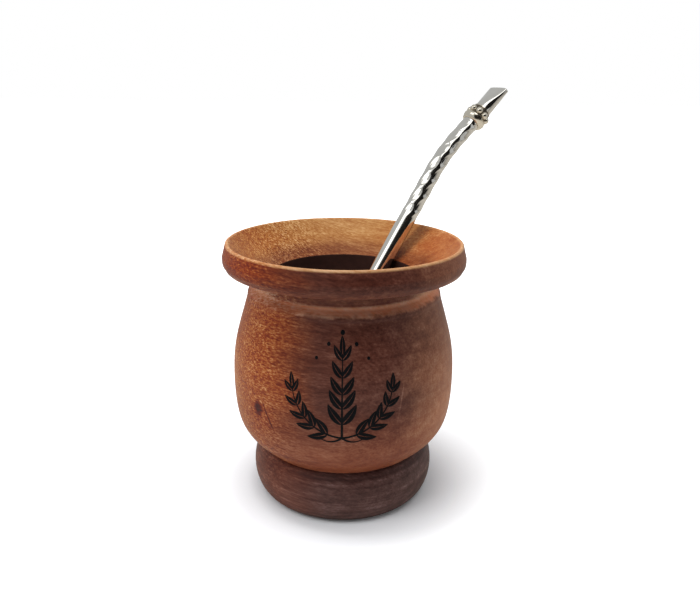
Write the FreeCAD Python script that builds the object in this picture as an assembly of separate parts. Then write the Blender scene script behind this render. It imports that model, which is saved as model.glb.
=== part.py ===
"""Turned wooden mate cup with a bent metal drinking straw (bombilla) leaning in it.

Units are millimetres. The origin is the centre of the foot's underside, +Z points up, and the
straw leans towards +X and a little towards +Y.
"""
import FreeCAD, Part
import math
import os
from FreeCAD import Vector

# ---- cup: heights from the underside of the foot, radii from the axis ----
RIM_TOP_Z = 89.7
RIM_TOP_R = 39.4
RIM_BULGE = 1.3           # how far the rim's outer face stands out past its top edge
RIM_BULGE_DROP = 4.6      # from the rim's top edge down to its widest line
RIM_FACE_H = 6.5          # height of the rim's outer face
RIM_CHAMFER_H = 2.0       # turned-in edge under the outer face
RIM_CHAMFER_W = 1.1
RIM_EDGE_ROUND = 0.7
THROAT_DROP = 11.0        # from the rim's top edge down to the narrow throat
THROAT_ROUND = 0.4
FLARE_SAG = 0.35          # how far the mouth's funnel is hollowed
NECK_DROP = 11.4          # from the rim's top edge down to the top of the neck groove
NECK_R = 29.6
NECK_H = 3.2
NECK_ROUND = 0.8
WALL = 5.6                # wood left between the bore and the neck groove
SHOULDER_STEP = 3.1       # how far the shoulder stands out past the neck groove
SHOULDER_DROP = 1.9       # the bevel from the neck groove out to the belly
BELLY_R = 38.16
BELLY_Z = 43.0
WAIST_Z = 18.3            # bottom of the V between belly and foot
FOOT_FLAT_R = 26.7
FOOT_BULGE = 5.2          # how far the foot's rounded side stands out past its flat
FLOOR_Z = 24.0            # bottom of the bore
BORE_CORNER_R = 8.0

# ---- straw ----
TUBE_D = 6.2
TUBE_WALL = 0.7
LOW_END_CLEAR = 3.6       # between the bore's wall and the tube's lower end
LOW_END_ANGLE = 196.0     # degrees round the cup, from +X towards +Y
THROAT_ANGLE = 46.2       # where the straw crosses the throat
STRAIGHT_ABOVE = 35.7     # straight length above the throat
BEND_R = 66.5
BEND_ANGLE = 15.6
NECK_LENGTH = 13.6        # straight length from the bend to the mouthpiece
MOUTH_LENGTH = 10.8
MOUTH_WIDTH = 8.8
MOUTH_THICK = 3.8
MOUTH_WALL = 0.6

# ---- ring round the straw, under the mouthpiece ----
RING_LENGTH = 6.8
RING_STAND = 1.5          # how far the crown stands out past the tube
RING_SKIRT_STAND = 1.3
RING_GROOVE_STAND = 0.6

# ---- clearances ----
SEAT_GAP = 0.08           # straw to the wood it leans on
RING_GAP = 0.05           # ring to the tube, all round


def at(radius, z):
    """Point of the cup's profile."""
    return Vector(radius, 0, z)


def line(start, end):
    return Part.LineSegment(start, end).toShape()


def arc(start, middle, end):
    return Part.Arc(start, middle, end).toShape()


def curve(points, start_tangent, end_tangent):
    """Smooth curve through the points with given end directions."""
    spline = Part.BSplineCurve()
    spline.interpolate(Points=points, InitialTangent=start_tangent, FinalTangent=end_tangent)
    return spline.toShape()


def rounded(corner, before, after, radius):
    """Arc that rounds a corner of the profile: its start, middle and end points."""
    to_before = (before - corner).normalize()
    to_after = (after - corner).normalize()
    half = to_before.getAngle(to_after) / 2
    start = corner + to_before * (radius / math.tan(half))
    end = corner + to_after * (radius / math.tan(half))
    inward = (to_before + to_after).normalize()
    middle = corner + inward * (radius / math.sin(half) - radius)
    return start, middle, end


def top_of(round_points, radius):
    """Highest point of a rounding arc's circle."""
    start, middle, end = round_points
    outward = (middle - (start + end) * 0.5).normalize()
    return (middle - outward * radius).z + radius


THROAT_R = NECK_R - WALL
THROAT_Z = RIM_TOP_Z - THROAT_DROP
RIM_MAX_R = RIM_TOP_R + RIM_BULGE
NECK_TOP_Z = RIM_TOP_Z - NECK_DROP
NECK_BOTTOM_Z = NECK_TOP_Z - NECK_H
SHOULDER_R = NECK_R + SHOULDER_STEP


def make_cup():
    """One turned solid: foot bead, belly, neck groove, flared rim and plain bore."""
    foot_mid_z = WAIST_Z / 2 + 0.33
    foot_bead = Part.Ellipse(at(FOOT_FLAT_R, 2 * foot_mid_z), at(FOOT_FLAT_R + FOOT_BULGE, foot_mid_z),
                             at(FOOT_FLAT_R, foot_mid_z))
    turn = math.acos((WAIST_Z - foot_mid_z) / foot_mid_z)
    waist = at(FOOT_FLAT_R + FOOT_BULGE * math.sin(turn), WAIST_Z)
    foot_low = at(FOOT_FLAT_R, 0)
    foot_edge = Part.Arc(foot_bead, turn, math.pi)

    shoulder = at(SHOULDER_R, NECK_BOTTOM_Z - SHOULDER_DROP)
    belly_top = at(SHOULDER_R + 0.1, shoulder.z - 1.6)
    rise = belly_top.z - BELLY_Z
    fall = BELLY_Z - WAIST_Z
    swell = BELLY_R - SHOULDER_R
    tuck = BELLY_R - waist.x
    belly = curve([waist,
                   at(BELLY_R - 0.688 * tuck, WAIST_Z + 0.109 * fall),
                   at(BELLY_R - 0.244 * tuck, WAIST_Z + 0.332 * fall),
                   at(BELLY_R - 0.052 * tuck, WAIST_Z + 0.620 * fall),
                   at(BELLY_R, BELLY_Z),
                   at(BELLY_R - 0.139 * swell, BELLY_Z + 0.390 * rise),
                   at(BELLY_R - 0.440 * swell, BELLY_Z + 0.640 * rise),
                   belly_top],
                  Vector(0.74, 0, 0.67), Vector(-0.26, 0, 0.97))

    neck_low = at(NECK_R, NECK_BOTTOM_Z)
    neck_high = at(NECK_R, NECK_TOP_Z)
    face_low = at(RIM_MAX_R, RIM_TOP_Z - RIM_FACE_H)
    under = at(face_low.x - RIM_CHAMFER_W, face_low.z - RIM_CHAMFER_H)
    shoulder_round = rounded(shoulder, neck_low, belly_top, NECK_ROUND / 2)
    low_round = rounded(neck_low, shoulder, neck_high, NECK_ROUND)
    high_round = rounded(neck_high, neck_low, under, NECK_ROUND)

    throat = at(THROAT_R, THROAT_Z)
    bulge = at(RIM_MAX_R, RIM_TOP_Z - RIM_BULGE_DROP)
    rim_edge = at(RIM_TOP_R, RIM_TOP_Z)
    for _ in range(4):
        edge_round = rounded(rim_edge, bulge, throat, RIM_EDGE_ROUND)
        rim_edge.z = rim_edge.z + RIM_TOP_Z - top_of(edge_round, RIM_EDGE_ROUND)
    face_round = rounded(face_low, bulge, under, RIM_CHAMFER_H)
    under_round = rounded(under, face_low, neck_high, RIM_CHAMFER_H / 3)
    bore_low = at(THROAT_R, FLOOR_Z)
    throat_round = rounded(throat, rim_edge, bore_low, THROAT_ROUND)
    floor_axis = at(0, FLOOR_Z)
    corner_round = rounded(bore_low, throat, floor_axis, BORE_CORNER_R)
    flare_run = throat_round[0] - edge_round[2]
    flare_normal = Vector(flare_run.z, 0, -flare_run.x).normalize()
    if flare_normal.z > 0:
        flare_normal = flare_normal * -1
    flare_middle = (edge_round[2] + throat_round[0]) * 0.5 + flare_normal * FLARE_SAG

    edges = [line(at(0, 0), foot_low),
             foot_edge.toShape(),
             belly,
             line(belly_top, shoulder_round[2]),
             arc(*reversed(shoulder_round)),
             line(shoulder_round[0], low_round[0]),
             arc(*low_round),
             line(low_round[2], high_round[0]),
             arc(*high_round),
             line(high_round[2], under_round[2]),
             arc(*reversed(under_round)),
             line(under_round[0], face_round[2]),
             arc(*reversed(face_round)),
             line(face_round[0], bulge),
             line(bulge, edge_round[0]),
             arc(*edge_round),
             arc(edge_round[2], flare_middle, throat_round[0]),
             arc(*throat_round),
             line(throat_round[2], corner_round[0]),
             arc(*corner_round),
             line(corner_round[2], floor_axis),
             line(floor_axis, at(0, 0))]
    profile = Part.Face(Part.Wire(Part.__sortEdges__(edges)))
    return profile.revolve(at(0, 0), Vector(0, 0, 1), 360)


def gap_to_throat(on_axis, direction):
    """Shortest distance from the straw's axis to the circle of the throat's edge."""
    nearest = None
    for step in range(720):
        angle = math.radians(step / 2)
        point = Vector(THROAT_R * math.cos(angle), THROAT_R * math.sin(angle), THROAT_Z)
        distance = (point - on_axis).cross(direction).Length
        nearest = distance if nearest is None else min(nearest, distance)
    return nearest


def straw_line():
    """Lower end of the straw's axis, where it crosses the throat, and its direction."""
    low_angle = math.radians(LOW_END_ANGLE)
    lean_angle = math.radians(THROAT_ANGLE)
    tube_r = TUBE_D / 2
    low_r = THROAT_R - tube_r - LOW_END_CLEAR
    near = 0.0
    far = THROAT_R
    for _ in range(50):
        radius = (near + far) / 2
        crossing = Vector(radius * math.cos(lean_angle), radius * math.sin(lean_angle), THROAT_Z)
        low = Vector(low_r * math.cos(low_angle), low_r * math.sin(low_angle), FLOOR_Z)
        for _ in range(4):
            direction = (crossing - low).normalize()
            lift = tube_r * math.sqrt(1 - direction.z ** 2)
            low.z = FLOOR_Z + lift + SEAT_GAP
        if gap_to_throat(crossing, direction) > tube_r + SEAT_GAP:
            near = radius
        else:
            far = radius
    return low, crossing, direction


LOW_END, CROSSING, LEAN = straw_line()
BEND_SIDE = Vector(LEAN.x * LEAN.z, LEAN.y * LEAN.z, LEAN.z ** 2 - 1).normalize()
BEND_START = CROSSING + LEAN * STRAIGHT_ABOVE


def on_bend(angle):
    """Point of the bend and the straw's direction there, angle in radians."""
    centre = BEND_START + BEND_SIDE * BEND_R
    point = centre - BEND_SIDE * (BEND_R * math.cos(angle)) + LEAN * (BEND_R * math.sin(angle))
    return point, LEAN * math.cos(angle) + BEND_SIDE * math.sin(angle)


BEND_END, MOUTH_DIRECTION = on_bend(math.radians(BEND_ANGLE))
MOUTH_START = BEND_END + MOUTH_DIRECTION * NECK_LENGTH
MOUTH_SIDE = Vector(0, 0, 1).cross(MOUTH_DIRECTION).normalize()
MOUTH_FLAT = MOUTH_DIRECTION.cross(MOUTH_SIDE).normalize()


def round_sweep(radius, overrun):
    """Solid of the straw's round part, along its straight, bent and straight runs."""
    middle, _ = on_bend(math.radians(BEND_ANGLE) / 2)
    start = LOW_END - LEAN * overrun
    route = Part.Wire([line(start, BEND_START), arc(BEND_START, middle, BEND_END),
                       line(BEND_END, MOUTH_START)])
    outline = Part.Circle(start, LEAN, radius)
    outline.XAxis = MOUTH_SIDE
    return route.makePipeShell([Part.Wire([outline.toShape()])], True, True)


def section(distance, width, thickness):
    """Closed section of the mouthpiece, distance along it from its round end."""
    centre = MOUTH_START + MOUTH_DIRECTION * distance
    if width - thickness < 0.01:
        outline = Part.Circle(centre, MOUTH_DIRECTION, width / 2)
        outline.XAxis = MOUTH_SIDE
    else:
        outline = Part.Ellipse(centre + MOUTH_SIDE * (width / 2), centre + MOUTH_FLAT * (thickness / 2), centre)
    return Part.Wire([outline.toShape()])


def mouth_loft(inset, end_inset, overrun):
    """Round tube flattening into the mouthpiece; the insets take the wall off all round."""
    sections = []
    for share in (0.0, 0.35, 0.7, 1.0):
        ease = share * share * (3 - 2 * share)
        width = TUBE_D + (MOUTH_WIDTH - TUBE_D) * ease
        thickness = TUBE_D + (MOUTH_THICK - TUBE_D) * ease
        wall = inset + (end_inset - inset) * ease
        distance = share * (MOUTH_LENGTH + overrun)
        sections.append(section(distance, width - 2 * wall, thickness - 2 * wall))
    return Part.makeLoft(sections, True, False)


def make_tube():
    """Hollow bent tube with its flattened mouthpiece."""
    outer = round_sweep(TUBE_D / 2, 0).fuse(mouth_loft(0, 0, 0))
    inner = round_sweep(TUBE_D / 2 - TUBE_WALL, 1).fuse(mouth_loft(TUBE_WALL, MOUTH_WALL, 1))
    return outer.cut(inner)


def make_ring():
    """Turned ornament on the tube: flared skirt, groove and rounded crown."""
    bore_r = TUBE_D / 2 + RING_GAP
    crown_r = TUBE_D / 2 + RING_STAND
    skirt_r = TUBE_D / 2 + RING_SKIRT_STAND
    groove_r = TUBE_D / 2 + RING_GROOVE_STAND
    lip_r = (bore_r + groove_r) / 2
    skirt_h = RING_LENGTH * 0.36
    groove_h = RING_LENGTH * 0.46
    crown_mid_h = RING_LENGTH * 0.70

    def on(radius, height):
        return Vector(radius, 0, height)

    edges = [line(on(bore_r, 0), on(lip_r, 0)),
             arc(on(lip_r, 0), on(skirt_r, skirt_h * 0.62), on(groove_r, skirt_h)),
             line(on(groove_r, skirt_h), on(groove_r, groove_h)),
             arc(on(groove_r, groove_h), on(crown_r, crown_mid_h), on(groove_r, RING_LENGTH * 0.94)),
             line(on(groove_r, RING_LENGTH * 0.94), on(lip_r, RING_LENGTH)),
             line(on(lip_r, RING_LENGTH), on(bore_r, RING_LENGTH)),
             line(on(bore_r, RING_LENGTH), on(bore_r, 0))]
    ring = Part.Face(Part.Wire(edges)).revolve(on(0, 0), Vector(0, 0, 1), 360)
    ring.Placement = FreeCAD.Placement(MOUTH_START - MOUTH_DIRECTION * RING_LENGTH,
                                       FreeCAD.Rotation(Vector(0, 0, 1), MOUTH_DIRECTION))
    return ring


def main():
    os.makedirs("parts", exist_ok=True)
    parts = {"cup": make_cup(), "bombilla_tube": make_tube(), "bombilla_ring": make_ring()}
    for node, shape in parts.items():
        solid = shape.Solids[0]
        box = solid.BoundBox
        print(node, "solids", len(shape.Solids), "valid", solid.isValid(), "volume", round(solid.Volume, 1),
              "box", [round(value, 2) for value in (box.XMin, box.YMin, box.ZMin, box.XMax, box.YMax, box.ZMax)])
        solid.exportStep("parts/" + node + ".step")


main()
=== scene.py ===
"""Looks for the turned wooden mate cup and its metal straw. Sizes are in millimetres until a mesh is made."""
import math

import bpy
import numpy as np
from mathutils import Matrix, Vector


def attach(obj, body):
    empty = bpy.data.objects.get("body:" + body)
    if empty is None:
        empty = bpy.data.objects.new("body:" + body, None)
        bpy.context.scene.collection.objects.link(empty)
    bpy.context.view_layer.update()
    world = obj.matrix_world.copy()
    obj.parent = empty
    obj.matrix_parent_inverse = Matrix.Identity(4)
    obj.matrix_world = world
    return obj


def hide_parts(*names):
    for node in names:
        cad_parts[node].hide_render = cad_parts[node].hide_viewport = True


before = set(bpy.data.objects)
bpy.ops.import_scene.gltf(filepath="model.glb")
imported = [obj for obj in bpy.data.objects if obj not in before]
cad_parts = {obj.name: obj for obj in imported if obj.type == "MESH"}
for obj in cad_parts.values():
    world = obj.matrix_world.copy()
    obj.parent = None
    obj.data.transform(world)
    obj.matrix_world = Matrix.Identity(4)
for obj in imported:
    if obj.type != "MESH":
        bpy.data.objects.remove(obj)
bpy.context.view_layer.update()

MM = 0.001

# ---- cup: heights from the underside of the foot, radii from the axis ----
RIM_TOP_Z = 89.7
RIM_TOP_R = 39.4
RIM_BULGE = 1.3
RIM_BULGE_DROP = 4.6
RIM_FACE_H = 6.5
RIM_CHAMFER_H = 2.0
RIM_CHAMFER_W = 1.1
RIM_EDGE_ROUND = 0.7
THROAT_DROP = 11.0
THROAT_ROUND = 0.4
FLARE_SAG = 0.35
NECK_DROP = 11.4
NECK_R = 29.6
NECK_H = 3.2
NECK_ROUND = 0.8
WALL = 5.6
SHOULDER_STEP = 3.1
SHOULDER_DROP = 1.9
BELLY_R = 38.16
BELLY_Z = 43.0
BELLY_TOP_STEP = 0.1         # the belly's curve ends this far outside and below the shoulder's corner
BELLY_TOP_DROP = 1.6
# shares inward and up, from the waist to the belly and from the belly to its top
BELLY_LOW_KNOTS = ((0.688, 0.109), (0.244, 0.332), (0.052, 0.620))
BELLY_HIGH_KNOTS = ((0.139, 0.390), (0.440, 0.640))
BELLY_SLOPES = ((0.74, 0.67), (-0.26, 0.97))                          # at the waist and at the top
WAIST_Z = 18.3
FOOT_FLAT_R = 26.7
FOOT_BULGE = 5.2
FOOT_LIFT = 0.33             # the foot is widest this far above half its height
FLOOR_Z = 24.0
BORE_CORNER_R = 8.0

WORN_SHOULDER_ROUND = 1.7    # softer than the exact solid, where sanding has eased the corners
WORN_NECK_ROUND = 2.4
EDGE_PASSES = 4              # tries at lifting the rim's corner until its round ends at the rim's height
SAME_POINT = 0.0001

RIM_MAX_R = RIM_TOP_R + RIM_BULGE
THROAT_R = NECK_R - WALL
THROAT_Z = RIM_TOP_Z - THROAT_DROP
NECK_TOP_Z = RIM_TOP_Z - NECK_DROP
NECK_BOTTOM_Z = NECK_TOP_Z - NECK_H
SHOULDER_R = NECK_R + SHOULDER_STEP
SHOULDER_Z = NECK_BOTTOM_Z - SHOULDER_DROP

# ---- straw ----
TUBE_D = 6.2
TUBE_WALL = 0.7
LOW_END_CLEAR = 3.6
LOW_END_ANGLE = 196.0
THROAT_ANGLE = 46.2
STRAIGHT_ABOVE = 35.7
BEND_R = 66.5
BEND_ANGLE = 15.6
NECK_LENGTH = 13.6
MOUTH_LENGTH = 10.8
MOUTH_WIDTH = 8.8
MOUTH_WALL = 0.6
MOUTH_SQUARENESS = 1.6    # added to the power of the mouthpiece's rounded outline
LIP_THICK = 2.4           # the lips close in a little more than the exact solid
LIP_LIFT = 0.6
LIP_ROUND = 0.25
LOW_END_EASE = 0.12       # easing of the lower end's outer and inner edge
CHANNEL_EASE = 0.10
RING_LENGTH = 6.8
RING_SKIRT_STAND = 1.3
SEAT_GAP = 0.08
RING_GAP = 0.05

TURN_STEPS = 320          # steps round the cup
TUBE_STEPS = 96           # steps round the straw
PLAIN_STEP = 1.5          # along the smooth part of the straw
CHASED_STEP = 0.22        # along its chased part


# ---------------------------------------------------------------- profile helpers

def unit(vector):
    return vector / np.linalg.norm(vector)


def point(*values):
    return np.array(values, float)


def arc_points(start, middle, end, count):
    """Points on the circular arc through three points of a plane."""
    ax, ay = start
    bx, by = middle
    cx, cy = end
    d = 2 * (ax * (by - cy) + bx * (cy - ay) + cx * (ay - by))
    ux = ((ax * ax + ay * ay) * (by - cy) + (bx * bx + by * by) * (cy - ay)
          + (cx * cx + cy * cy) * (ay - by)) / d
    uy = ((ax * ax + ay * ay) * (cx - bx) + (bx * bx + by * by) * (ax - cx)
          + (cx * cx + cy * cy) * (bx - ax)) / d
    centre = point(ux, uy)
    radius = np.linalg.norm(start - centre)
    first, mid, last = (math.atan2(p[1] - uy, p[0] - ux) for p in (start, middle, end))
    turn = (last - first) % (2 * math.pi)
    if (mid - first) % (2 * math.pi) > turn:
        turn -= 2 * math.pi
    angles = first + turn * np.linspace(0, 1, count)
    return [centre + radius * point(math.cos(a), math.sin(a)) for a in angles]


def straight(start, end, count):
    return [start + (end - start) * share for share in np.linspace(0, 1, count)]


def rounded(corner, before, after, radius):
    """Start, middle and end of the arc that rounds a corner."""
    to_before = unit(before - corner)
    to_after = unit(after - corner)
    half = math.acos(np.clip(to_before @ to_after, -1, 1)) / 2
    start = corner + to_before * (radius / math.tan(half))
    end = corner + to_after * (radius / math.tan(half))
    middle = corner + unit(to_before + to_after) * (radius / math.sin(half) - radius)
    return start, middle, end


def smooth_curve(knots, first_slope, last_slope, count):
    """Cubic spline through the knots by chord length, with given end directions."""
    knots = np.array(knots, float)
    chord = np.concatenate([[0], np.cumsum(np.linalg.norm(np.diff(knots, axis=0), axis=1))])
    size = len(knots)
    matrix = np.zeros((size, size))
    right = np.zeros((size, 2))
    matrix[0, 0] = matrix[-1, -1] = 1
    right[0], right[-1] = unit(first_slope), unit(last_slope)
    for i in range(1, size - 1):
        before, after = chord[i] - chord[i - 1], chord[i + 1] - chord[i]
        matrix[i, i - 1:i + 2] = after, 2 * (before + after), before
        come, go = knots[i] - knots[i - 1], knots[i + 1] - knots[i]
        right[i] = 3 * (after * come / before + before * go / after)
    slopes = np.linalg.solve(matrix, right)
    points = []
    for s in np.linspace(0, chord[-1], count):
        i = min(np.searchsorted(chord, s, side="right") - 1, size - 2)
        step = chord[i + 1] - chord[i]
        t = (s - chord[i]) / step
        points.append((2 * t ** 3 - 3 * t ** 2 + 1) * knots[i] + (t ** 3 - 2 * t ** 2 + t) * step * slopes[i]
                      + (3 * t ** 2 - 2 * t ** 3) * knots[i + 1] + (t ** 3 - t ** 2) * step * slopes[i + 1])
    return points


def cup_profile():
    """Outline of the cup from the centre of its foot round to the centre of its bore's floor.

    Returns the points and the index where the bore starts."""
    foot_mid = WAIST_Z / 2 + FOOT_LIFT
    turn = math.acos((WAIST_Z - foot_mid) / foot_mid)
    foot = [point(FOOT_FLAT_R + FOOT_BULGE * math.sin(a), foot_mid + foot_mid * math.cos(a))
            for a in np.linspace(math.pi, turn, 60)]
    waist = foot[-1]
    shoulder = point(SHOULDER_R, SHOULDER_Z)
    belly_top = point(SHOULDER_R + BELLY_TOP_STEP, SHOULDER_Z - BELLY_TOP_DROP)
    rise, fall = belly_top[1] - BELLY_Z, BELLY_Z - WAIST_Z
    swell, tuck = BELLY_R - SHOULDER_R, BELLY_R - waist[0]
    knots = [waist]
    knots += [(BELLY_R - inward * tuck, WAIST_Z + up * fall) for inward, up in BELLY_LOW_KNOTS]
    knots.append((BELLY_R, BELLY_Z))
    knots += [(BELLY_R - inward * swell, BELLY_Z + up * rise) for inward, up in BELLY_HIGH_KNOTS]
    knots.append(belly_top)
    first_slope, last_slope = BELLY_SLOPES
    belly = smooth_curve(knots, point(*first_slope), point(*last_slope), 150)
    neck_low, neck_high = point(NECK_R, NECK_BOTTOM_Z), point(NECK_R, NECK_TOP_Z)
    face_low = point(RIM_MAX_R, RIM_TOP_Z - RIM_FACE_H)
    under = point(RIM_MAX_R - RIM_CHAMFER_W, face_low[1] - RIM_CHAMFER_H)
    bulge = point(RIM_MAX_R, RIM_TOP_Z - RIM_BULGE_DROP)
    throat = point(THROAT_R, THROAT_Z)
    shoulder_round = rounded(shoulder, neck_low, belly_top, WORN_SHOULDER_ROUND)
    low_round = rounded(neck_low, shoulder, neck_high, WORN_NECK_ROUND)
    high_round = rounded(neck_high, neck_low, under, NECK_ROUND)
    face_round = rounded(face_low, bulge, under, RIM_CHAMFER_H)
    under_round = rounded(under, face_low, neck_high, RIM_CHAMFER_H / 3)
    rim_edge = point(RIM_TOP_R, RIM_TOP_Z)
    for _ in range(EDGE_PASSES):
        edge_round = rounded(rim_edge, bulge, throat, RIM_EDGE_ROUND)
        edge_points = arc_points(*edge_round, 40)
        rim_edge[1] += RIM_TOP_Z - max(p[1] for p in edge_points)
    bore_low, floor_axis = point(THROAT_R, FLOOR_Z), point(0, FLOOR_Z)
    throat_round = rounded(throat, rim_edge, bore_low, THROAT_ROUND)
    corner_round = rounded(bore_low, throat, floor_axis, BORE_CORNER_R)
    run = throat_round[0] - edge_round[2]
    downward = unit(point(-run[1], run[0]))
    downward = downward if downward[1] < 0 else -downward
    flare_middle = (edge_round[2] + throat_round[0]) / 2 + downward * FLARE_SAG
    # each run's last number is its count of points
    outside = [straight(point(0, 0), foot[0], 30), foot, belly,
               straight(belly_top, shoulder_round[2], 4), arc_points(*shoulder_round[::-1], 8),
               straight(shoulder_round[0], low_round[0], 8), arc_points(*low_round, 10),
               straight(low_round[2], high_round[0], 6), arc_points(*high_round, 10),
               straight(high_round[2], under_round[2], 14), arc_points(*under_round[::-1], 8),
               straight(under_round[0], face_round[2], 4), arc_points(*face_round[::-1], 10),
               straight(face_round[0], bulge, 5), straight(bulge, edge_round[0], 8),
               edge_points, arc_points(edge_round[2], flare_middle, throat_round[0], 40)]
    inside = [arc_points(*throat_round, 8), straight(throat_round[2], corner_round[0], 40),
              arc_points(*corner_round, 16), straight(corner_round[2], floor_axis, 16)]
    points = []
    bore_start = 0
    for number, run_points in enumerate(outside + inside):
        if number == len(outside):
            bore_start = len(points)
        for p in run_points:
            if not points or np.linalg.norm(p - points[-1]) > SAME_POINT:
                points.append(p)
    return np.array(points), bore_start


# ---------------------------------------------------------------- mesh helpers

def make_object(name, vertices, faces, materials, face_materials=None, sharp=40):
    """Mesh object in metres from points in millimetres, smooth but for its sharp edges."""
    mesh = bpy.data.meshes.new(name)
    mesh.from_pydata([tuple(v) for v in np.array(vertices) * MM], [], faces)
    for material in materials:
        mesh.materials.append(material)
    if face_materials is not None:
        mesh.polygons.foreach_set("material_index", face_materials)
    mesh.validate()
    mesh.update()
    mesh.shade_smooth()
    mesh.set_sharp_from_angle(angle=math.radians(sharp))
    piece = bpy.data.objects.new(name, mesh)
    bpy.context.scene.collection.objects.link(piece)
    return piece


def grid_faces(rows, columns, closed_rows=False):
    """Quads between neighbouring rows of points; columns always close round."""
    faces = []
    for i in range(rows if closed_rows else rows - 1):
        here, there = i * columns, ((i + 1) % rows) * columns
        for j in range(columns):
            k = (j + 1) % columns
            faces.append((here + j, here + k, there + k, there + j))
    return faces


# ---------------------------------------------------------------- material helpers

class Graph:
    """Short way to write a material's nodes."""

    def __init__(self, name):
        self.material = bpy.data.materials.new(name)
        self.material.use_nodes = True
        self.tree = self.material.node_tree
        self.tree.nodes.clear()
        self.output = self.tree.nodes.new("ShaderNodeOutputMaterial")

    def add(self, kind, inputs=None, **settings):
        node = self.tree.nodes.new("ShaderNode" + kind)
        for key, value in settings.items():
            setattr(node, key, value)
        for key, value in (inputs or {}).items():
            if isinstance(value, bpy.types.NodeSocket):
                self.tree.links.new(value, node.inputs[key])
            else:
                node.inputs[key].default_value = value
        return node

    def math(self, operation, first, second=0.0, clamp=False):
        return self.add("Math", {0: first, 1: second}, operation=operation, use_clamp=clamp).outputs[0]

    def spread(self, value, low, high, to_low=0.0, to_high=1.0):
        node = self.add("MapRange", {"Value": value, "From Min": low, "From Max": high,
                                     "To Min": to_low, "To Max": to_high})
        node.interpolation_type = "SMOOTHSTEP"
        return node.outputs["Result"]

    def rise(self, length, span):
        """From 0 to 1 while a length goes through a span in millimetres."""
        return self.spread(length, span[0] * MM, span[1] * MM)

    def fall(self, length, span):
        """From 1 to 0 while a length goes through a span in millimetres."""
        return self.spread(length, span[0] * MM, span[1] * MM, 1.0, 0.0)

    def band(self, length, start, end):
        """Rises through one span and falls through a later one."""
        return self.times(self.rise(length, start), self.fall(length, end))

    def times(self, first, second):
        return self.math("MULTIPLY", first, second)

    def plus(self, first, second):
        return self.math("ADD", first, second)

    def minus(self, first, second, clamp=False):
        return self.math("SUBTRACT", first, second, clamp)

    def noise(self, vector, scale, detail=3.0, roughness=0.55):
        return self.add("TexNoise", {"Vector": vector, "Scale": scale, "Detail": detail,
                                     "Roughness": roughness}).outputs["Fac"]

    def mapping(self, vector, scale=(1, 1, 1), rotation=(0, 0, 0)):
        return self.add("Mapping", {"Vector": vector, "Scale": scale, "Rotation": rotation}).outputs["Vector"]

    def mix(self, share, first, second):
        node = self.add("Mix", data_type="RGBA")
        for socket, value in ((node.inputs[0], share), (node.inputs[6], first), (node.inputs[7], second)):
            if isinstance(value, bpy.types.NodeSocket):
                self.tree.links.new(value, socket)
            else:
                socket.default_value = value
        return node.outputs[2]

    def ramp(self, value, stops):
        node = self.add("ValToRGB", {"Fac": value})
        ramp = node.color_ramp
        while len(ramp.elements) < len(stops):
            ramp.elements.new(0.5)
        for element, (place, colour) in zip(ramp.elements, stops):
            element.position = place
            element.color = (*colour, 1)
        return node.outputs["Color"]

    def surface(self, shader):
        self.tree.links.new(shader, self.output.inputs["Surface"])


# ---------------------------------------------------------------- wood

GRAIN_TURN = math.radians(24)      # of the grain about the cup's axis
GRAIN_TILT = math.radians(-4)
GRAIN_STRAY = 5.0                  # how far the grain's lines wander
PATTERNS = {                       # stretch along the grain, fineness, detail and roughness
    "streaks": (0.09, 1300.0, 3.0, 0.60),
    "wide_streaks": (0.08, 330.0, 2.0, 0.50),
    "flecks": (0.35, 2050.0, 3.0, 0.65),
}
PORE_STRETCH, PORE_FINENESS = 0.12, 1500.0
PORE_SIZE = (0.15, 0.42)
LATHE_FLATTEN, LATHE_FINENESS = 0.02, 800.0

TONES = {
    "heart": (0.104, 0.0300, 0.0175, 1),
    "left": (0.325, 0.074, 0.0115, 1),
    "edge_left": (0.430, 0.140, 0.030, 1),
    # right: partly paler wood, partly painted sheen, the more so low down
    "right": (0.480, 0.190, 0.086, 1),
    "low": (0.265, 0.069, 0.026, 1),
    "neck": (0.190, 0.052, 0.021, 1),
    "flare": (0.370, 0.122, 0.022, 1),
    "flare_right": (0.380, 0.116, 0.028, 1),
    # painted sheen: a paler, greyer tone at the back of the flare stands in for the top light's reflection
    "flare_back_sheen": (0.385, 0.172, 0.047, 1),
    "throat": (0.170, 0.045, 0.014, 1),
    # a lighter tone along the rim's top outer edge
    "rim_edge_tone": (0.66, 0.36, 0.16, 1),
    # shoulder: partly paler sanded wood, partly painted light on a band that the rim's overhang keeps in
    # shade; a lower tone on the left
    "shoulder": (0.860, 0.440, 0.275, 1),
    "shoulder_light_left": (0.660, 0.310, 0.180, 1),
    # painted sheen: a pale tone on the neck's left and right sides stands in for a highlight
    "neck_sheen": (0.760, 0.440, 0.265, 1),
    "foot": (0.095, 0.041, 0.034, 1),
    "foot_left": (0.140, 0.036, 0.018, 1),
}

# spans across the cup, from -1 at its left to 1 at its right
SIDE_STRAY = 0.55                  # how far clouds shift the tones' borders
LEFT_SIDE = (-0.74, -0.16)
LEFT_EDGE = (-1.0, -0.72)
RIGHT_SIDE = (0.42, 0.95)
FLARE_SIDES = (-0.2, 0.9)
# round the cup, where the neck's painted sheen lies
NECK_SHEEN_SIDES = (0.66, 0.92)

# spans up the cup, or out from its axis, in which a tone begins or ends
FOOT_END = (18.2, 18.8)
UNDERSIDE_START, UNDERSIDE_END, UNDERSIDE_STRAY = (18.0, 19.0), (28.0, 47.0), 12.0
LEFT_EDGE_BELOW = (60.0, 44.0)
# the right tone grows downward, where its painted sheen stands in for the floor's reflection
RIGHT_BELOW, RIGHT_AT_TOP = (68.0, 36.0), 0.42
# the shoulder band, whose bright tone is partly painted light
SHOULDER_LIGHT_START, SHOULDER_LIGHT_END, SHOULDER_LIGHT_STRAY = (72.6, 74.1), (75.0, 76.1), 1.6
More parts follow.
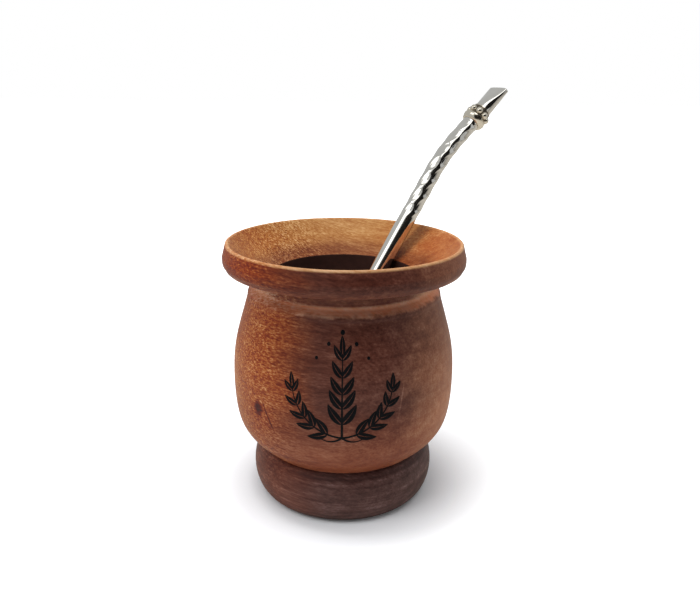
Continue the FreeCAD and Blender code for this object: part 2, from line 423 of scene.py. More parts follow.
# up the cup, where the neck's painted sheen lies
NECK_SHEEN_START, NECK_SHEEN_END = (73.5, 75.2), (80.0, 83.0)
NECK_START, NECK_END = (74.5, 76.5), (81.5, 84.5)
FLARE_START, FLARE_EDGE = (78.0, 78.5), (38.8, 39.4)
FLARE_SLOPE, FLARE_FOOT = 1.4, 83.5    # outside the line r = slope * z - foot lies the rim, not its flare
# depth behind the axis where the flare's painted sheen comes in
FLARE_BACK_SHEEN, FLARE_BACK_SHEEN_STRAY = (12.0, 36.0), 20.0
THROAT_OUT, THROAT_STRAY = (26.2, 32.5), 6.0
RIM_FACE_START, RIM_FACE_END, RIM_FACE_OUT = (80.5, 82.5), (88.8, 89.3), (38.5, 39.2)
RIM_EDGE_TONE_START, RIM_EDGE_TONE_OUT = (88.8, 89.3), (38.0, 38.7)


def half_way(g, pattern):
    """How far a pattern lies under its middle."""
    return g.minus(0.5, pattern)


def wood_patterns(g, place):
    """Patterns that run along the grain, soft clouds, and the wandering grain space itself."""
    grain = g.mapping(place, rotation=(0, GRAIN_TILT, GRAIN_TURN))
    wander = g.add("TexNoise", {"Vector": grain, "Scale": 22.0, "Detail": 2.0}).outputs["Color"]
    stray = g.add("VectorMath", {0: wander, "Scale": GRAIN_STRAY * MM}, operation="SCALE").outputs[0]
    bent = g.add("VectorMath", {0: grain, 1: stray}, operation="ADD").outputs[0]
    found = {"bent": bent}
    for name, (stretch, fineness, detail, roughness) in PATTERNS.items():
        found[name] = g.noise(g.mapping(bent, scale=(stretch, 1, 1)), fineness, detail, roughness)
    stretched = g.mapping(bent, scale=(PORE_STRETCH, 1, 1))
    cells = g.add("TexVoronoi", {"Vector": stretched, "Scale": PORE_FINENESS}, feature="F1")
    found["pores"] = g.spread(cells.outputs["Distance"], *PORE_SIZE, 1.0, 0.0)
    found["cloud"] = g.minus(g.noise(g.mapping(place, scale=(0.9, 0.9, 1.6)), 38.0, 3.0, 0.6), 0.5)
    flattened = g.mapping(place, scale=(LATHE_FLATTEN, LATHE_FLATTEN, 1))
    found["turning"] = g.noise(flattened, LATHE_FINENESS, 2.0, 0.6)
    return found


def wood_zones(g, place, patterns):
    """How far each point belongs to each part of the cup that has a tone of its own; some of these tones are
    painted sheen, and the shoulder's is partly painted light.
    """
    cloud = patterns["cloud"]
    x, y, z = g.add("SeparateXYZ", {0: place}).outputs
    radius = g.math("SQRT", g.plus(g.times(x, x), g.times(y, y)))
    side = g.math("DIVIDE", x, g.math("MAXIMUM", radius, MM))
    shifted = g.plus(side, g.times(cloud, SIDE_STRAY))
    left = g.spread(shifted, *LEFT_SIDE, 1.0, 0.0)
    # more of the right tone low down: partly paler wood, partly painted sheen
    high, low = RIGHT_BELOW
    below = g.spread(z, high * MM, low * MM, RIGHT_AT_TOP, 1.0)
    underside = g.times(g.rise(z, UNDERSIDE_START),
                        g.fall(g.plus(z, g.times(cloud, UNDERSIDE_STRAY * MM)), UNDERSIDE_END))
    outside = g.math("GREATER_THAN", radius, g.plus(g.times(z, FLARE_SLOPE), -FLARE_FOOT * MM))
    flare = g.times(g.times(g.rise(z, FLARE_START), g.fall(radius, FLARE_EDGE)), g.minus(1.0, outside))
    frayed = g.plus(z, g.times(g.minus(g.noise(patterns["bent"], 420.0, 2.0), 0.5), SHOULDER_LIGHT_STRAY * MM))
    sides = g.spread(g.math("ABSOLUTE", side), *NECK_SHEEN_SIDES)
    return {
        "left": left,
        "edge_left": g.times(g.spread(shifted, *LEFT_EDGE, 1.0, 0.0), g.rise(z, LEFT_EDGE_BELOW)),
        "right": g.times(g.spread(shifted, *RIGHT_SIDE), below),
        "low": g.times(underside, g.minus(0.85, g.times(left, 0.6))),
        "neck": g.times(g.band(z, NECK_START, NECK_END), 0.6),
        "flare": flare,
        "flare_right": g.spread(shifted, *FLARE_SIDES),
        # painted sheen at the back of the flare
        "flare_back_sheen": g.rise(g.plus(y, g.times(cloud, FLARE_BACK_SHEEN_STRAY * MM)), FLARE_BACK_SHEEN),
        "throat": g.times(g.fall(g.plus(radius, g.times(cloud, THROAT_STRAY * MM)), THROAT_OUT), 0.75),
        # lighter along the rim's top outer edge
        "rim_edge_tone": g.times(g.times(g.rise(z, RIM_EDGE_TONE_START), g.rise(radius, RIM_EDGE_TONE_OUT)), 0.55),
        # shoulder band: partly painted light
        "shoulder": g.times(g.rise(frayed, SHOULDER_LIGHT_START), g.fall(z, SHOULDER_LIGHT_END)),
        # painted sheen on the neck's sides
        "neck_sheen": g.times(g.times(sides, g.band(z, NECK_SHEEN_START, NECK_SHEEN_END)), g.minus(0.8, flare)),
        "foot": g.fall(z, FOOT_END),
        "rim_face": g.times(g.band(z, RIM_FACE_START, RIM_FACE_END), g.rise(radius, RIM_FACE_OUT)),
    }


def wood_colour(g, zones):
    """Dark heartwood in front and behind, redder wood left, paler wood right that is partly painted sheen, a
    lighter rim edge, a shoulder band that is partly painted light, and painted sheen at the back of the flare
    and on the neck's sides.
    """
    flare = g.mix(zones["flare_right"], TONES["flare"], TONES["flare_right"])
    # painted sheen at the back of the flare
    flare = g.mix(zones["flare_back_sheen"], flare, TONES["flare_back_sheen"])
    flare = g.mix(zones["throat"], flare, TONES["throat"])
    # the shoulder band's tone, partly painted light, is lower on the left
    shoulder = g.mix(zones["left"], TONES["shoulder"], TONES["shoulder_light_left"])
    foot = g.mix(zones["left"], TONES["foot"], TONES["foot_left"])
    colour = TONES["heart"]
    for zone, tone in (("left", TONES["left"]), ("edge_left", TONES["edge_left"]), ("low", TONES["low"]),
                       ("right", TONES["right"]), ("neck", TONES["neck"]), ("flare", flare),
                       ("rim_edge_tone", TONES["rim_edge_tone"]), ("shoulder", shoulder), ("neck_sheen", TONES["neck_sheen"]),
                       ("foot", foot)):
        colour = g.mix(zones[zone], colour, tone)
    return colour


def wood_power(g, place, patterns, zones):
    """Power put on the colour: above one it darkens and reddens, below one it lightens."""
    mottled = g.minus(zones["left"], g.times(zones["foot"], 0.75), True)
    speckle = g.plus(g.times(mottled, 2.4), 0.50)
    speckle = g.plus(speckle, g.times(zones["flare"], 0.55))
    power = g.times(half_way(g, patterns["flecks"]), speckle)
    power = g.plus(power, g.times(half_way(g, patterns["streaks"]), 0.75))
    power = g.plus(power, g.times(half_way(g, patterns["wide_streaks"]), 0.55))
    power = g.minus(power, g.times(patterns["cloud"], 0.45))
    power = g.plus(power, g.times(g.times(patterns["pores"], speckle), 0.16))
    power = g.plus(power, g.times(zones["rim_face"], g.plus(g.times(zones["left"], 0.16), 0.10)))
    lathe = g.plus(g.times(zones["foot"], 0.55), 0.30)
    power = g.plus(power, g.times(half_way(g, patterns["turning"]), lathe))
    power = g.plus(power, wood_marks(g, place))
    return g.math("MAXIMUM", g.plus(power, 1.03), 0.5)


def wood_marks(g, place):
    """Extra darkness of the small knot and the hair crack beside it, and lightness of one growth line."""
    def near(azimuth, height, reach_along, reach_up, tilt=0.0, reach_deep=12.0):
        """Distance from a place on the belly, 1 at the given reaches in millimetres; angles in degrees."""
        a = math.radians(azimuth)
        spot = (BELLY_R * math.sin(a) * MM, -BELLY_R * math.cos(a) * MM, height * MM)
        local = g.add("VectorMath", {0: place, 1: spot}, operation="SUBTRACT").outputs[0]
        turned = g.add("VectorRotate", {"Vector": local, "Angle": -a}, rotation_type="Z_AXIS").outputs[0]
        turned = g.add("VectorRotate", {"Vector": turned, "Angle": math.radians(tilt)},
                       rotation_type="Y_AXIS").outputs[0]
        per_reach = (1 / (reach_along * MM), 1 / (reach_deep * MM), 1 / (reach_up * MM))
        scaled = g.add("VectorMath", {0: turned, 1: per_reach}, operation="MULTIPLY").outputs[0]
        return g.add("VectorMath", {0: scaled}, operation="LENGTH").outputs["Value"]

    knot = g.spread(near(-45.3, 40.8, 2.7, 3.3), 0.25, 1.0, 1.45, 0.0)
    crack = g.spread(near(-38.3, 38.8, 0.42, 6.6, tilt=27.0), 0.4, 1.0, 0.95, 0.0)
    line = g.spread(near(28.2, 47.4, 0.38, 8.5, tilt=-10.0), 0.3, 1.0, -0.24, 0.0)
    marks = g.plus(g.plus(knot, crack), line)
    y = g.add("SeparateXYZ", {0: place}).outputs[1]
    return g.times(marks, g.math("LESS_THAN", y, 0.0))


def wood_material():
    """Oiled hardwood turned across the grain: end grain left and right, long grain front and back."""
    g = Graph("turned_wood")
    place = g.add("TexCoord").outputs["Object"]
    patterns = wood_patterns(g, place)
    zones = wood_zones(g, place, patterns)
    power = wood_power(g, place, patterns, zones)
    colour = g.add("Gamma", {"Color": wood_colour(g, zones), "Gamma": power}).outputs[0]
    height = g.plus(g.times(patterns["flecks"], 0.5), g.times(patterns["streaks"], 0.5))
    height = g.minus(height, g.times(patterns["pores"], 0.6))
    bump = g.add("Bump", {"Height": height, "Strength": 0.3, "Distance": 0.00010}).outputs["Normal"]
    gloss = g.spread(patterns["streaks"], 0.3, 0.7, 0.42, 0.54)
    shader = g.add("BsdfPrincipled", {"Base Color": colour, "Roughness": gloss, "Normal": bump,
                                      "Specular IOR Level": 0.26})
    g.surface(shader.outputs[0])
    return g.material


# ---------------------------------------------------------------- other materials

def bore_material():
    """Near-black wood colour inside the cup's bore."""
    g = Graph("dark_bore")
    place = g.add("TexCoord").outputs["Object"]
    streaks = g.noise(place, 260.0, 3.0)
    colour = g.ramp(streaks, [(0.3, (0.036, 0.015, 0.012)), (0.7, (0.052, 0.022, 0.017))])
    bump = g.add("Bump", {"Height": streaks, "Strength": 0.3, "Distance": 0.0002}).outputs["Normal"]
    shader = g.add("BsdfPrincipled", {"Base Color": colour, "Roughness": 0.8, "Normal": bump,
                                      "Specular IOR Level": 0.2})
    g.surface(shader.outputs[0])
    return g.material


def metal_material(name, tint, roughness):
    """Polished plated metal with faint handling marks."""
    g = Graph(name)
    place = g.add("TexCoord").outputs["Object"]
    smears = g.noise(place, 260.0, 3.0)
    scratches = g.noise(g.mapping(place, scale=(1, 1, 0.2)), 3000.0, 2.0)
    colour = g.mix(g.spread(smears, 0.35, 0.7), (*tint, 1), (*[c * 0.93 for c in tint], 1))
    rough = g.spread(smears, 0.3, 0.75, roughness, roughness + 0.07)
    bump = g.add("Bump", {"Height": scratches, "Strength": 0.05, "Distance": 0.00002}).outputs["Normal"]
    shader = g.add("BsdfPrincipled", {"Base Color": colour, "Metallic": 1.0, "Roughness": rough,
                                      "Normal": bump})
    g.surface(shader.outputs[0])
    return g.material


def ink_material():
    """Black printing ink, its shade a little uneven."""
    g = Graph("printed_ink")
    place = g.add("TexCoord").outputs["Object"]
    wear = g.noise(place, 900.0, 4.0)
    colour = g.ramp(wear, [(0.35, (0.002, 0.003, 0.004)), (0.75, (0.008, 0.007, 0.008))])
    shader = g.add("BsdfPrincipled", {"Base Color": colour, "Roughness": 0.6, "Specular IOR Level": 0.08})
    g.surface(shader.outputs[0])
    return g.material


# ---------------------------------------------------------------- cup

TOOL_MARKS = ((0.012, 5.1), (0.010, 8.7))     # depth and turns per millimetre of the lathe tool's marks
OUT_OF_ROUND = 0.03
OUT_OF_ROUND_FINE = 0.015
MARKED_BEYOND = 5.0          # the middle of the foot and of the bore's floor stays plain
SHRUNK = 0.06                # keeps the marks inside the exact solid


def make_cup():
    """The turned cup, one closed skin with faint marks of the lathe."""
    profile, bore_start = cup_profile()
    body = profile[1:-1]
    count = len(body)
    angles = np.linspace(0, 2 * math.pi, TURN_STEPS, endpoint=False)
    phases = np.random.default_rng(4).uniform(0, 2 * math.pi, 4)
    vertices = []
    for radius, z in body:
        mark = sum(depth * math.sin(z * rate + phase) for (depth, rate), phase in zip(TOOL_MARKS, phases))
        for angle in angles:
            oval = OUT_OF_ROUND * math.sin(2 * angle + phases[2])
            oval += OUT_OF_ROUND_FINE * math.sin(5 * angle + z * 0.05 + phases[3])
            r = radius + (mark + oval - SHRUNK if radius > MARKED_BEYOND else 0)
            vertices.append((r * math.cos(angle), r * math.sin(angle), z))
    faces = grid_faces(count, TURN_STEPS)
    materials = [1 if i >= bore_start - 1 else 0 for i in range(count - 1) for _ in range(TURN_STEPS)]
    for end, row in ((profile[0], 0), (profile[-1], count - 1)):
        centre = len(vertices)
        vertices.append((0, 0, end[1]))
        here = row * TURN_STEPS
        for j in range(TURN_STEPS):
            k = (j + 1) % TURN_STEPS
            faces.append((centre, here + k, here + j) if row == 0 else (centre, here + j, here + k))
            materials.append(0 if row == 0 else 1)
    cup = make_object("cup_turned", vertices, faces, [wood_material(), bore_material()], materials)
    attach(cup, "root")
    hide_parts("cup")


# ---------------------------------------------------------------- straw

def straw_line():
    """Lower end of the straw's axis, where it crosses the throat, and its direction.

    The crossing moves outward by halves until the straw all but touches the throat's edge."""
    low_angle, lean_angle = math.radians(LOW_END_ANGLE), math.radians(THROAT_ANGLE)
    tube_r = TUBE_D / 2
    low_r = THROAT_R - tube_r - LOW_END_CLEAR
    circle = np.array([(THROAT_R * math.cos(a), THROAT_R * math.sin(a), THROAT_Z)
                       for a in np.radians(np.arange(0, 360, 0.5))])
    near, far = 0.0, THROAT_R
    for _ in range(50):
        radius = (near + far) / 2
        crossing = point(radius * math.cos(lean_angle), radius * math.sin(lean_angle), THROAT_Z)
        low = point(low_r * math.cos(low_angle), low_r * math.sin(low_angle), FLOOR_Z)
        for _ in range(4):
            direction = unit(crossing - low)
            low[2] = FLOOR_Z + tube_r * math.sqrt(1 - direction[2] ** 2) + SEAT_GAP
        gap = np.linalg.norm(np.cross(circle - crossing, direction), axis=1).min()
        if gap > tube_r + SEAT_GAP:
            near = radius
        else:
            far = radius
    return low, crossing, direction


LOW_END, CROSSING, LEAN = straw_line()
BEND_SIDE = unit(point(LEAN[0] * LEAN[2], LEAN[1] * LEAN[2], LEAN[2] ** 2 - 1))
BEND_START = CROSSING + LEAN * STRAIGHT_ABOVE
LOW_RUN = np.linalg.norm(BEND_START - LOW_END)
BEND_RUN = BEND_R * math.radians(BEND_ANGLE)
ROUND_RUN = LOW_RUN + BEND_RUN + NECK_LENGTH
MOUTH_DIRECTION = LEAN * math.cos(math.radians(BEND_ANGLE)) + BEND_SIDE * math.sin(math.radians(BEND_ANGLE))
MOUTH_SIDE = unit(np.cross(point(0, 0, 1), MOUTH_DIRECTION))


def on_straw(s):
    """Centre and direction of the straw, s along it from its lower end."""
    if s <= LOW_RUN:
        return LOW_END + LEAN * s, LEAN
    angle = min((s - LOW_RUN) / BEND_R, math.radians(BEND_ANGLE))
    centre = BEND_START + BEND_SIDE * BEND_R
    place = centre - BEND_SIDE * BEND_R * math.cos(angle) + LEAN * BEND_R * math.sin(angle)
    direction = LEAN * math.cos(angle) + BEND_SIDE * math.sin(angle)
    return place + direction * max(0.0, s - LOW_RUN - BEND_RUN), direction


PLAIN_ABOVE_THROAT = 17.0
PLAIN_UNDER_RING = 0.6
CUT_START = LOW_RUN - STRAIGHT_ABOVE + PLAIN_ABOVE_THROAT     # where the chased part begins, along the straw
CUT_END = ROUND_RUN - RING_LENGTH - PLAIN_UNDER_RING
CUT_PITCH = 6.3
CUT_LENGTH = 5.9
CUT_WIDTH = 2.7
CUT_DEPTH = 0.15
CUT_ROWS = 6
CUT_SLANT = 0.18
CUT_REACH = 2.2           # no cut reaches further round than this from its row's middle
CUT_FADE_IN = 3.0
CUT_FADE_OUT = 0.8


def cut_depth(s, angle):
    """Depth of the chased cuts: slanted leaf-shaped scoops in staggered rows."""
    if not CUT_START < s < CUT_END:
        return 0.0
    row_gap = 2 * math.pi / CUT_ROWS
    depth = 0.0
    for row in range(CUT_ROWS):
        across = (angle - row * row_gap + math.pi) % (2 * math.pi) - math.pi
        across *= TUBE_D / 2
        if abs(across) > CUT_REACH:
            continue
        along = (s - CUT_START - (row % 2) * CUT_PITCH / 2) % CUT_PITCH - CUT_PITCH / 2
        skewed = across - CUT_SLANT * along
        reach = 1 - (along / (CUT_LENGTH / 2)) ** 2 - (skewed / (CUT_WIDTH / 2)) ** 2
        if reach > 0:
            depth = max(depth, CUT_DEPTH * (1 - (1 - reach) ** 2))
    fade = min(1.0, (s - CUT_START) / CUT_FADE_IN, (CUT_END - s) / CUT_FADE_OUT)
    return depth * max(0.0, fade)


def ease(share):
    """Smooth step from 0 to 1."""
    return share * share * (3 - 2 * share)


def mouth_section(share, inset):
    """Half width, half thickness and squareness of the mouthpiece, share of the way along it."""
    eased = ease(share)
    width = TUBE_D + (MOUTH_WIDTH - TUBE_D) * eased
    thick = TUBE_D + (LIP_THICK - TUBE_D) * eased
    return width / 2 - inset, thick / 2 - inset, 2 + MOUTH_SQUARENESS * eased


def straw_ring_points(s, inset, relief):
    """One round of points of the straw's outer or inner wall."""
    centre, direction = on_straw(min(s, ROUND_RUN + MOUTH_LENGTH))
    flat = np.cross(direction, MOUTH_SIDE)
    half_width = half_thick = TUBE_D / 2 - inset
    power = 2.0
    if s > ROUND_RUN:
        share = min(1.0, (s - ROUND_RUN) / MOUTH_LENGTH)
        half_width, half_thick, power = mouth_section(share, inset)
        centre = centre + flat * LIP_LIFT * ease(share)
    points = []
    for angle in np.linspace(0, 2 * math.pi, TUBE_STEPS, endpoint=False):
        c, n = math.cos(angle), math.sin(angle)
        stretch = (abs(c) ** power + abs(n) ** power) ** (-1 / power)
        cut = cut_depth(s, angle) if relief else 0.0
        points.append(centre + MOUTH_SIDE * (half_width - cut) * c * stretch
                      + flat * (half_thick - cut) * n * stretch)
    return points


def make_tube():
    """The whole straw: its outer wall, round the lips, and back down its channel."""
    total = ROUND_RUN + MOUTH_LENGTH
    plain = list(np.arange(LIP_ROUND, CUT_START, PLAIN_STEP))
    chased = list(np.arange(CUT_START, ROUND_RUN, CHASED_STEP))
    mouth = list(np.linspace(ROUND_RUN, total - LIP_ROUND, 40))
    vertices = []
    for s in [0.0] + plain + chased + mouth:
        vertices += straw_ring_points(s, 0.0 if s else LOW_END_EASE, True)
    lip = MOUTH_WALL / 2
    for turn in np.linspace(0, math.pi, 9)[1:-1]:
        inset = lip - lip * math.cos(turn)
        vertices += straw_ring_points(total - LIP_ROUND + LIP_ROUND * math.sin(turn), inset, False)
    mouth_channel = list(np.linspace(total - LIP_ROUND, ROUND_RUN, 24))
    for s in mouth_channel + list(np.linspace(ROUND_RUN - 1, LIP_ROUND, 70)):
        share = max(0.0, (s - ROUND_RUN) / MOUTH_LENGTH)
        vertices += straw_ring_points(s, TUBE_WALL + (MOUTH_WALL - TUBE_WALL) * share, False)
    vertices += straw_ring_points(0.0, TUBE_WALL - CHANNEL_EASE, False)
    faces = grid_faces(len(vertices) // TUBE_STEPS, TUBE_STEPS, closed_rows=True)
    metal = metal_material("straw_metal", (0.80, 0.775, 0.72), 0.07)
    tube = make_object("straw_tube", vertices, faces, [metal], sharp=50)
    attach(tube, "root")
    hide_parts("bombilla_tube")


# ---------------------------------------------------------------- ring

RING_STEPS = 288
RING_ROWS = 74
SKIRT_END = 0.32 * RING_LENGTH
GROOVE_END = 0.425 * RING_LENGTH
SKIRT_EDGE_STAND = 0.2    # of the skirt's lower edge and the groove's floor over the ring's bore
GROOVE_STAND = 0.15
PEARLS = 8
PEARL_R = 1.42
PEARL_SEAT = 3.24         # radius of the circle of pearl centres
PEARL_H = 4.30
PEARL_NARROW = 1.22       # makes the pearls narrower round the ring than along it
COLLAR_R = 3.42
PATINA_START = 0.30 * RING_LENGTH
PATINA_END = 0.92 * RING_LENGTH
PATINA_REACH = 0.14       # dark where the ring stands out from its collar by less than this


def ring_radius(h, angle):
    """Outer radius of the ring at a height up it and an angle round it: skirt, groove, pearls, collar."""
    bore = TUBE_D / 2 + RING_GAP
    skirt = TUBE_D / 2 + RING_SKIRT_STAND
    if h <= SKIRT_END:
        edge = bore + SKIRT_EDGE_STAND
        return edge + (skirt - edge) * math.sin(math.pi / 2 * (h / SKIRT_END) ** 0.8)
    if h <= GROOVE_END:
        share = (h - SKIRT_END) / (GROOVE_END - SKIRT_END)
        return skirt - (skirt - bore - GROOVE_STAND) * math.sin(math.pi * min(1, share * 0.9)) ** 0.5
    gap = 2 * math.pi / PEARLS
    aside = ((angle + gap / 2) % gap - gap / 2) * PEARL_SEAT * PEARL_NARROW
    inside = PEARL_R ** 2 - aside ** 2 - (h - PEARL_H) ** 2
    return max(COLLAR_R, PEARL_SEAT + math.sqrt(inside) if inside > 0 else 0)


def make_ring():
    """Rounded skirt, deep groove and a crown of pearls, round the straw under its mouthpiece."""
    bore = TUBE_D / 2 + RING_GAP
    base, _ = on_straw(ROUND_RUN - RING_LENGTH)
    flat = np.cross(MOUTH_DIRECTION, MOUTH_SIDE)
    angles = np.linspace(0, 2 * math.pi, RING_STEPS, endpoint=False)
    heights = np.linspace(0, RING_LENGTH, RING_ROWS)
    rows = [(0.0, True)] + [(h, False) for h in heights] + [(RING_LENGTH, True)]
    vertices, shades = [], []
    for h, inner in rows:
        for angle in angles:
            r = bore if inner else ring_radius(h, angle)
            around = MOUTH_SIDE * math.cos(angle) + flat * math.sin(angle)
            vertices.append(base + MOUTH_DIRECTION * h + around * r)
            nearby = ring_radius(h + 0.05, angle + math.pi / RING_STEPS)
            shades.append(int(PATINA_START < h < PATINA_END and nearby < COLLAR_R + PATINA_REACH))
    faces = grid_faces(len(rows), RING_STEPS, closed_rows=True)
    metals = [metal_material("ring_metal", (0.80, 0.74, 0.62), 0.13),
              metal_material("ring_patina", (0.17, 0.14, 0.105), 0.32)]
    ring = make_object("straw_ring", vertices, faces, metals, shades, sharp=60)
    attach(ring, "root")
    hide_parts("bombilla_ring")


# ---------------------------------------------------------------- printed sprig

INK_LIFT = 0.035
INK_SINK = 0.12           # the ink's underside lies this far inside the wood
PRINT_Z = 50.5            # middle of the print, height
PRINT_AZIMUTH = -90.5     # degrees round the cup
RIB = 0.16                # half the bare midrib of a leaf at its root
LEAF_TURN = 46            # degrees between a leaf and its twig
LEAF_BEND = 26
DOTS = ((0.0, 18.6, 0.75), (4.6, 15.2, 0.6), (-4.6, 15.2, 0.6), (8.4, 11.0, 0.5), (-8.4, 11.0, 0.5))


def belly_radius():
    """Function from height to the cup's outer radius on the belly."""
    profile, _ = cup_profile()
    radii, heights = profile[:, 0], profile[:, 1]
    on_belly = radii > THROAT_R + 1
    on_belly &= (heights > WAIST_Z + 0.2) & (heights < SHOULDER_Z - BELLY_TOP_DROP - 0.1)
    order = np.argsort(heights[on_belly])
    return lambda z: float(np.interp(z, heights[on_belly][order], radii[on_belly][order]))


def strip(left, right, radius_at, columns=5):
    """Closed thin solid over the belly between two edges, each a list of (across, up) in millimetres."""
    rows = len(left)
    vertices, faces = [], []
    for lift in (INK_LIFT, -INK_SINK):
        for (lu, lv), (ru, rv) in zip(left, right):
            for share in np.linspace(0, 1, columns):
                u, v = lu + (ru - lu) * share, lv + (rv - lv) * share
                z = PRINT_Z + v
                angle = math.radians(PRINT_AZIMUTH) + u / BELLY_R
                r = radius_at(z) + lift
                vertices.append((r * math.cos(angle), r * math.sin(angle), z))
    layer = rows * columns
    for i in range(rows - 1):
        for j in range(columns - 1):
            a, b = i * columns + j, (i + 1) * columns + j
            faces.append((a, a + 1, b + 1, b))
            faces.append((layer + a, layer + b, layer + b + 1, layer + a + 1))
    border = list(range(columns)) + [i * columns + columns - 1 for i in range(1, rows)]
    border += [(rows - 1) * columns + j for j in range(columns - 2, -1, -1)]
    border += [i * columns for i in range(rows - 2, 0, -1)]
    for a, b in zip(border, border[1:] + border[:1]):
        faces.append((b, a, layer + a, layer + b))
    return vertices, faces


def stroke_edges(points, width):
    """Left and right edges of a stroke along points, width a function of the share along it."""
    points = np.array(points, float)
    slopes = np.gradient(points, axis=0)
    left, right = [], []
    for number, (p, d) in enumerate(zip(points, slopes)):
        normal = point(-d[1], d[0]) / np.linalg.norm(d)
        half = width(number / (len(points) - 1)) / 2
        left.append(p - normal * half)
        right.append(p + normal * half)
    return left, right


def curl(start, heading, length, bend, count=22):
    """Points of a curve from start, heading in degrees, turning bend degrees over its length."""
    points = [point(*start)]
    for number in range(count - 1):
        angle = math.radians(heading + bend * number / (count - 1))
        points.append(points[-1] + point(math.cos(angle), math.sin(angle)) * length / (count - 1))
    return points


def leaf_strips(root, heading, length, breadth, bend):
    """Two half leaves with a bare midrib between them."""
    spine = np.array(curl(root, heading, length, bend, 26))
    slopes = np.gradient(spine, axis=0)
    halves = []
    for side in (-1, 1):
        inner, outer = [], []
        for number, (p, d) in enumerate(zip(spine, slopes)):
            share = number / (len(spine) - 1)
            normal = side * point(-d[1], d[0]) / np.linalg.norm(d)
            rib = RIB * (1 - share) + 0.02
            body = breadth / 2 * math.sin(math.pi * min(1, share ** 0.8)) ** 0.85 + 0.03
            inner.append(p + normal * rib)
            outer.append(p + normal * (rib + body))
        halves.append((inner, outer) if side < 0 else (outer, inner))
    return halves


def heading_of(step):
    return math.degrees(math.atan2(step[1], step[0]))


def twig_shapes(root, heading, length, bend, leaf_length, leaf_breadth, thick, pairs=5):
    """A stem that thins out, with pairs of leaves that grow smaller along it and one at its tip."""
    stem = curl(root, heading, length, bend, 48)
    shapes = [stroke_edges(stem, lambda t: thick * (1 - 0.6 * t))]
    for number in range(pairs):
        share = 0.20 + 0.74 * number / (pairs - 1)
        size = 1 - 0.42 * share
        spot = int(share * (len(stem) - 1))
        along = heading_of(stem[min(spot + 1, len(stem) - 1)] - stem[spot - 1])
        for side in (-1, 1):
            shapes += leaf_strips(stem[spot], along + side * LEAF_TURN, leaf_length * size,
                                  leaf_breadth * size, -side * LEAF_BEND)
    tip = heading_of(stem[-1] - stem[-2])
    return shapes + leaf_strips(stem[-1], tip, leaf_length * 0.62, leaf_breadth * 0.6, 4)


def dot_edges(across, up, size):
    """Left and right edge of a round dot."""
    turns = np.linspace(-math.pi / 2, math.pi / 2, 16)
    return [[(across + side * size * math.cos(a), up + size * math.sin(a)) for a in turns]
            for side in (-1, 1)]


def make_print():
    """Generic ornament: an upright leafy twig between two arching ones, with a few dots."""
    radius_at = belly_radius()
    shapes = twig_shapes((0.0, -14.6), heading=90, length=27.0, bend=0,
                         leaf_length=8.6, leaf_breadth=2.7, thick=0.75)
    for side in (-1, 1):
        shapes += twig_shapes((side * 0.2, -14.2), heading=90 - side * 82, length=24.0, bend=side * 76,
                              leaf_length=7.0, leaf_breadth=2.3, thick=0.65)
        tail = curl((side * 0.3, -14.4), 90 - side * 128, 6.5, side * 70, 30)
        shapes.append(stroke_edges(tail, lambda t: 0.70 - 0.50 * t))
    shapes += [dot_edges(*dot) for dot in DOTS]
    vertices, faces = [], []
    for left, right in shapes:
        more_vertices, more_faces = strip(left, right, radius_at)
        faces += [tuple(i + len(vertices) for i in face) for face in more_faces]
        vertices += more_vertices
    ink = make_object("printed_sprig", vertices, faces, [ink_material()])
    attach(ink, "root")


# ---------------------------------------------------------------- floor, light and camera

FLOOR_HALF = 4.0                   # metres
FLOOR_DROP = 0.05                  # under the foot
FLOOR_COLOUR = (0.82, 0.835, 0.86, 1)
MIRRORED_FLOOR = (0.60, 0.57, 0.52, 1)
# the table's own glow, seen only by the camera, close to the foot, round it, and what is added far out; the
# weaker glow close to the foot paints shadow round it over its real shadow
PAINTED_SHADOW_GLOW, FLOOR_GLOW, FAR_GLOW = 0.04, 0.44, 0.7
PAINTED_SHADOW_SPAN = (31.0, 60.0)
FAR_OUT = (70.0, 500.0)

WORLD_FILL = 0.45
MIRRORED_GREY, MIRRORED_LEVEL = (0.97, 0.99, 1.0, 1), 0.53

AIM = (0, 0, 0.05)                 # metres, like all places of lamps and cards
CARD_CORNERS = ((-0.22, -0.55, 0.03), (0.95, -0.50, 0.03), (0.95, -0.50, 0.86), (-0.22, -0.55, 0.53))
CARD_SHADE = (0.015, 0.014, 0.013, 1)
LAMPS = (                          # name, place, size, power, and whether metal mirrors it
    ("top_light", (-0.04, -0.02, 0.95), (0.80, 0.80), 4.5, False),
    ("mouth_light", (-0.16, -0.06, 0.92), (0.12, 0.12), 1.9, False),
    ("left_light", (-0.45, -0.36, 0.70), (0.34, 0.26), 1.5, False),
    ("left_panel", (-0.44, -0.38, 0.72), (0.50, 0.36), 0.8, True),
    ("front_light", (0.16, -0.35, 0.755), (0.42, 0.34), 0.62, True),
)


def flat_piece(name, corners):
    mesh = bpy.data.meshes.new(name)
    mesh.from_pydata(corners, [], [(0, 1, 2, 3)])
    piece = bpy.data.objects.new(name, mesh)
    bpy.context.scene.collection.objects.link(piece)
    return piece


def make_card():
    """Dark card in front that only the metal mirrors; the camera does not see it."""
    card = flat_piece("front_card", CARD_CORNERS)
    card.visible_camera = False
    g = Graph("front_card")
    g.surface(g.add("BsdfDiffuse", {"Color": CARD_SHADE}).outputs[0])
    card.data.materials.append(g.material)


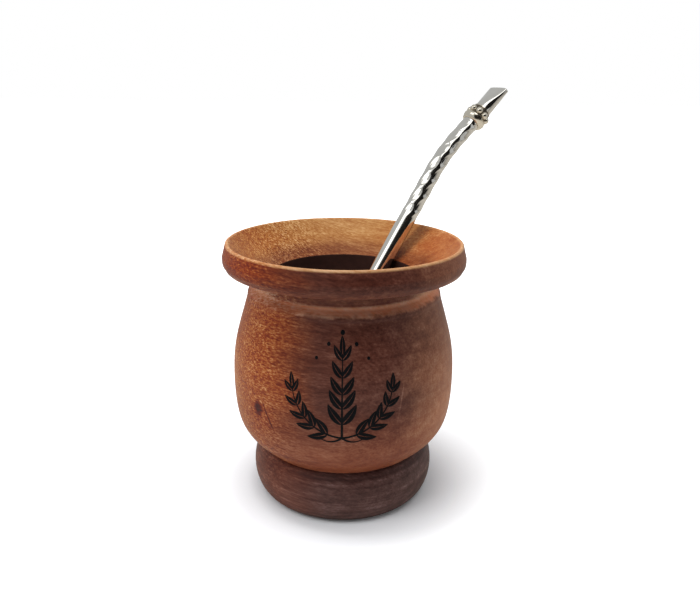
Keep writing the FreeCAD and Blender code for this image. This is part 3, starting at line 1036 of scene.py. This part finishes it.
def make_floor():
    """White table with a soft shadow round the foot: its real shadow, deepened by painted shadow where the
    table's camera-only glow is weaker near the foot.
    """
    h = FLOOR_HALF
    floor = flat_piece("floor", ((-h, -h, 0), (h, -h, 0), (h, h, 0), (-h, h, 0)))
    floor.location.z = -FLOOR_DROP * MM
    g = Graph("white_table")
    rays = g.add("LightPath").outputs
    away = g.add("VectorMath", {0: g.add("TexCoord").outputs["Object"]}, operation="LENGTH").outputs["Value"]
    # weaker camera-only glow near the foot: painted shadow round it
    painted_shadow_ramp = g.spread(away, PAINTED_SHADOW_SPAN[0] * MM, PAINTED_SHADOW_SPAN[1] * MM, PAINTED_SHADOW_GLOW, FLOOR_GLOW)
    far_glow = g.spread(away, FAR_OUT[0] * MM, FAR_OUT[1] * MM, 0.0, FAR_GLOW)
    paper = g.add("BsdfDiffuse", {"Color": g.mix(rays["Is Glossy Ray"], FLOOR_COLOUR, MIRRORED_FLOOR)})
    seen = g.times(rays["Is Camera Ray"], g.plus(painted_shadow_ramp, far_glow))
    glow = g.add("Emission", {"Color": (1, 1, 1, 1), "Strength": seen})
    g.surface(g.add("AddShader", {0: paper.outputs[0], 1: glow.outputs[0]}).outputs[0])
    floor.data.materials.append(g.material)


def make_world():
    """White for the camera, a soft fill for the wood, and a cool grey for metal to mirror."""
    world = bpy.data.worlds.new("studio")
    bpy.context.scene.world = world
    world.use_nodes = True
    tree = world.node_tree
    tree.nodes.clear()

    def background(colour, strength):
        node = tree.nodes.new("ShaderNodeBackground")
        node.inputs["Color"].default_value = colour
        node.inputs["Strength"].default_value = strength
        return node.outputs[0]

    def join(kind, *sockets):
        node = tree.nodes.new(kind)
        for number, socket in enumerate(sockets):
            tree.links.new(socket, node.inputs[number])
        return node

    rays = tree.nodes.new("ShaderNodeLightPath").outputs
    seen = join("ShaderNodeMath", rays["Is Camera Ray"], rays["Is Transmission Ray"])
    seen.operation = "MAXIMUM"
    white = (1, 1, 1, 1)
    unseen = join("ShaderNodeMixShader", rays["Is Glossy Ray"], background(white, WORLD_FILL),
                  background(MIRRORED_GREY, MIRRORED_LEVEL))
    shown = join("ShaderNodeMixShader", seen.outputs[0], unseen.outputs[0], background(white, 1.0))
    join("ShaderNodeOutputWorld", shown.outputs[0])


def make_lamp(name, place, size, power, mirrored):
    data = bpy.data.lights.new(name, "AREA")
    data.shape = "RECTANGLE"
    data.size, data.size_y = size
    data.energy = power
    lamp = bpy.data.objects.new(name, data)
    lamp.location = place
    lamp.visible_glossy = mirrored
    lamp.rotation_euler = (Vector(place) - Vector(AIM)).to_track_quat("Z", "Y").to_euler()
    bpy.context.scene.collection.objects.link(lamp)


CAMERA_BACK = 229.0
CAMERA_UP = 141.35
PITCH = 0.3076                     # radians
YAW = -0.0088
ROLL = 0.0118
LENS = SENSOR = 36.0
CLIP_START = 10.0


def make_camera():
    data = bpy.data.cameras.new("camera")
    data.lens = LENS
    data.sensor_width = SENSOR
    data.clip_start = CLIP_START * MM
    camera = bpy.data.objects.new("camera", data)
    turn = Matrix.Rotation(YAW, 3, "Z")
    ahead = turn @ Vector((0, math.cos(PITCH), -math.sin(PITCH)))
    right = turn @ Vector((1, 0, 0))
    up = right.cross(ahead)
    across = right * math.cos(ROLL) + up * math.sin(ROLL)
    upright = up * math.cos(ROLL) - right * math.sin(ROLL)
    axes = Matrix((across, upright, -ahead)).transposed().to_4x4()
    camera.matrix_world = Matrix.Translation((0, -CAMERA_BACK * MM, CAMERA_UP * MM)) @ axes
    bpy.context.scene.collection.objects.link(camera)
    bpy.context.scene.camera = camera


def main():
    make_camera()
    make_world()
    make_floor()
    make_card()
    for lamp in LAMPS:
        make_lamp(*lamp)
    make_cup()
    make_tube()
    make_ring()
    make_print()
    bpy.context.scene.view_settings.view_transform = "Standard"


main()
